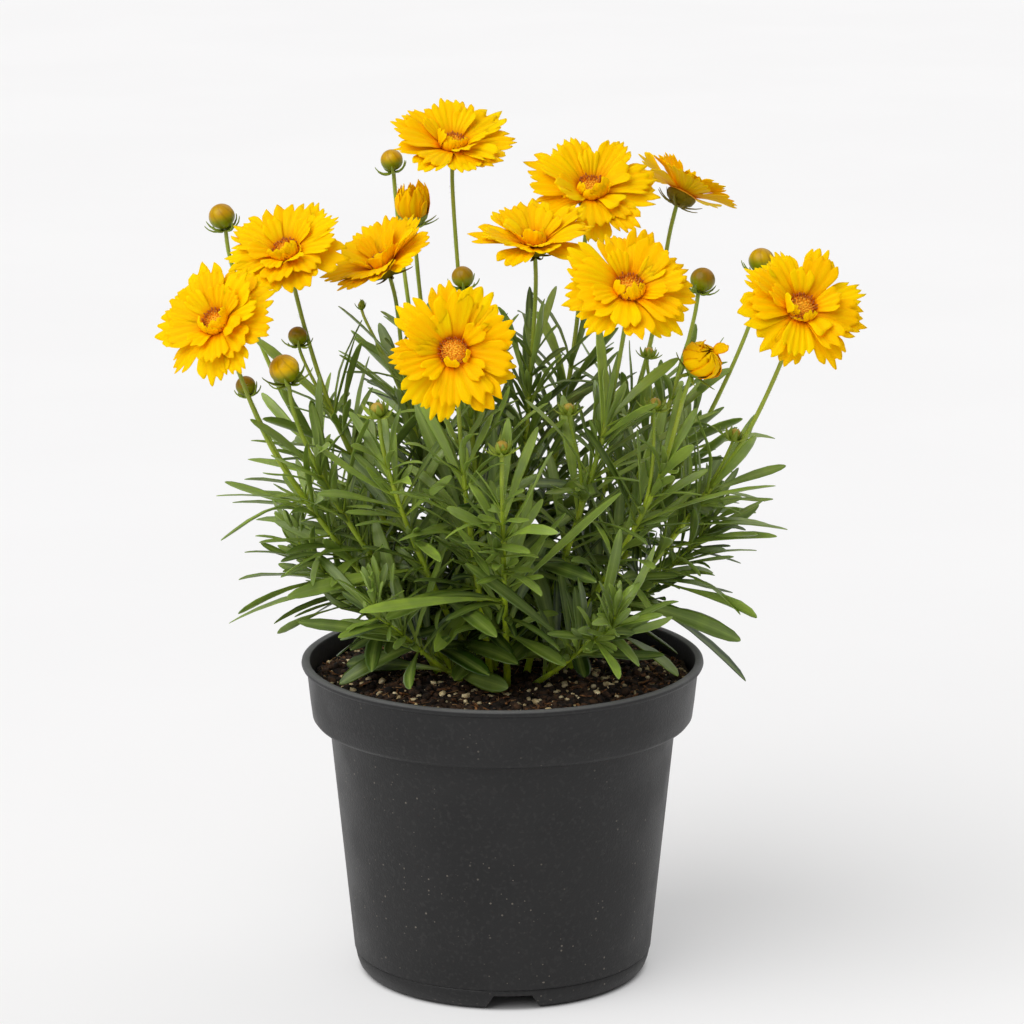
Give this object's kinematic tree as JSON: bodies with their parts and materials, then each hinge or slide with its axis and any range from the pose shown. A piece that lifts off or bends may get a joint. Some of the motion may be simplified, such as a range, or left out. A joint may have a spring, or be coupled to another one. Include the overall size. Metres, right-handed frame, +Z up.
{
  "type": "potted coreopsis plant",
  "caption": "Potted coreopsis: dense leafy clump in a round nursery pot of soil, with semi-double golden-yellow blooms, opening blooms and round buds on slender stems.",
  "frame": {"origin": "centre of the pot's flat base, on the surface it stands on", "axes": "+Z up out of the pot; -Y is the plant's front, where most blooms face; +X to its right"},
  "size_m": [0.2857, 0.2457, 0.3597],
  "materials": {
    "pot": "matte",
    "soil": "matte",
    "stem": "satin",
    "petal": "matte",
    "disc": "matte",
    "bud": "satin"
  },
  "bodies": {
    "root": {"pot": "pot", "soil": "soil", "bud_01": "bud", "bud_02": "bud", "bud_03": "bud", "bud_04": "bud", "bud_05": "bud", "bud_06": "bud", "bud_07": "bud", "bud_08": "bud", "disc_01": "disc", "disc_02": "disc", "disc_03": "disc", "disc_04": "disc", "disc_05": "disc", "disc_06": "disc", "disc_07": "disc", "disc_08": "disc", "disc_09": "disc", "disc_10": "disc", "opening_01": "petal", "opening_02": "petal", "petals_01": "petal", "petals_02": "petal", "petals_03": "petal", "petals_04": "petal", "petals_05": "petal", "petals_06": "petal", "petals_07": "petal", "petals_08": "petal", "petals_09": "petal", "petals_10": "petal", "stem_01": "stem", "stem_02": "stem", "stem_03": "stem", "stem_04": "stem", "stem_05": "stem", "stem_06": "stem", "stem_07": "stem", "stem_08": "stem", "stem_09": "stem", "stem_10": "stem", "stem_11": "stem", "stem_12": "stem", "stem_13": "stem", "stem_14": "stem", "stem_15": "stem", "stem_16": "stem", "stem_17": "stem", "stem_18": "stem", "stem_19": "stem", "stem_20": "stem", "stem_21": "stem", "stem_22": "stem", "stem_23": "stem", "stem_24": "stem", "stem_25": "stem", "stem_26": "stem", "stem_27": "stem"}
  },
  "joints": []
}
